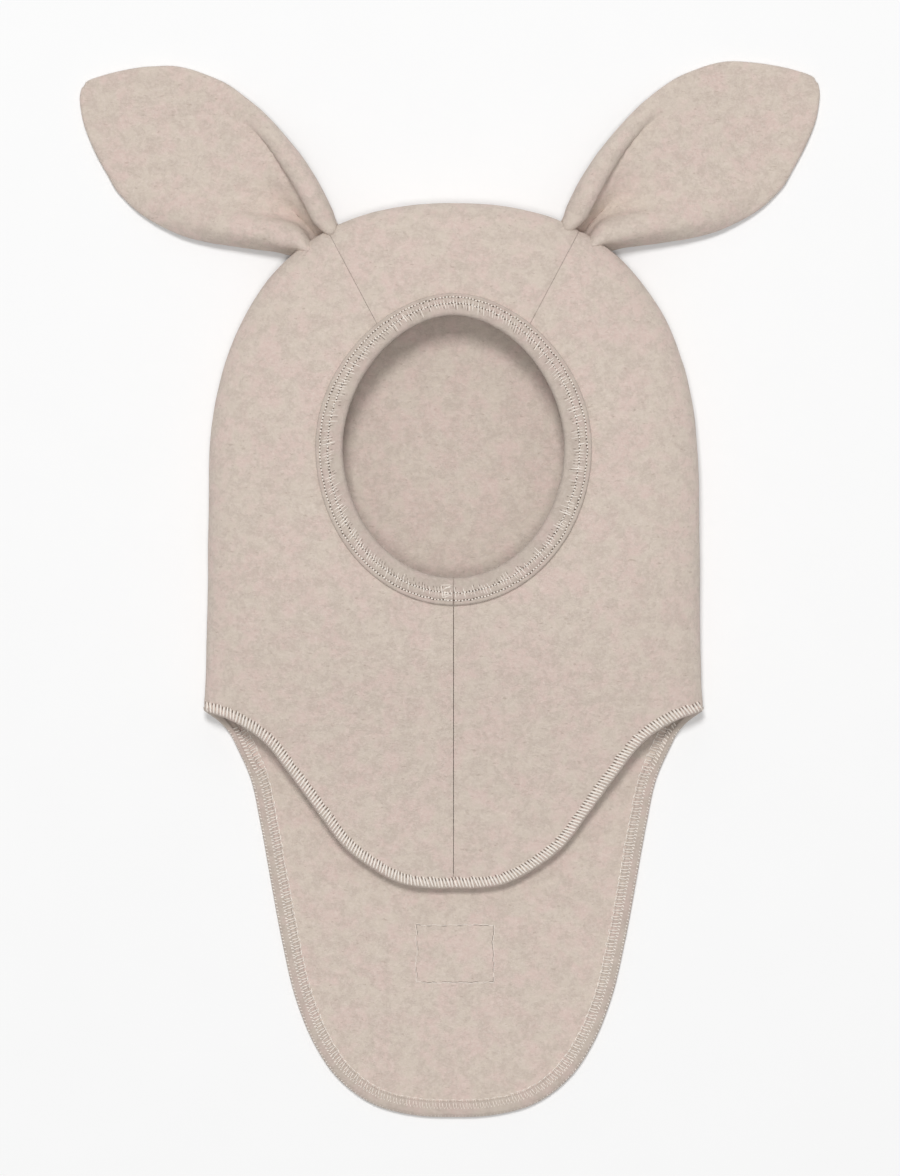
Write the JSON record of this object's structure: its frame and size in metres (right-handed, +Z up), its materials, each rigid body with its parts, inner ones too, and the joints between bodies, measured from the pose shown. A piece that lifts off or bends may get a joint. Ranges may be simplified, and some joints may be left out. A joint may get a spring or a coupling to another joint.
{
  "type": "baby hood hat with ears",
  "caption": "Soft hood hat for a baby with leaf-shaped ears, a round face opening, a short front bib and a long back bib, lying flat on its back.",
  "frame": {"origin": "on the surface that the hat lies on, under the middle of the whole hat", "axes": "+X across the hat, +Y from the bibs to the crown and the ears, +Z up from the surface, out of the face opening"},
  "size_m": [0.2982, 0.4242, 0.033],
  "materials": {
    "crown_and_back_panel": "matt felted wool",
    "side_panel_right": "matt felted wool",
    "side_panel_left": "matt felted wool",
    "face_hem": "matt felted wool",
    "neck_hem": "matt felted wool",
    "ear_right_front": "matt felted wool",
    "ear_right_back": "matt felted wool",
    "ear_left_front": "matt felted wool",
    "ear_left_back": "matt felted wool"
  },
  "bodies": {
    "root": {"crown_and_back_panel": "crown_and_back_panel", "side_panel_right": "side_panel_right", "side_panel_left": "side_panel_left", "face_hem": "face_hem", "neck_hem": "neck_hem", "ear_right_front": "ear_right_front", "ear_right_back": "ear_right_back", "ear_left_front": "ear_left_front", "ear_left_back": "ear_left_back"}
  },
  "joints": []
}
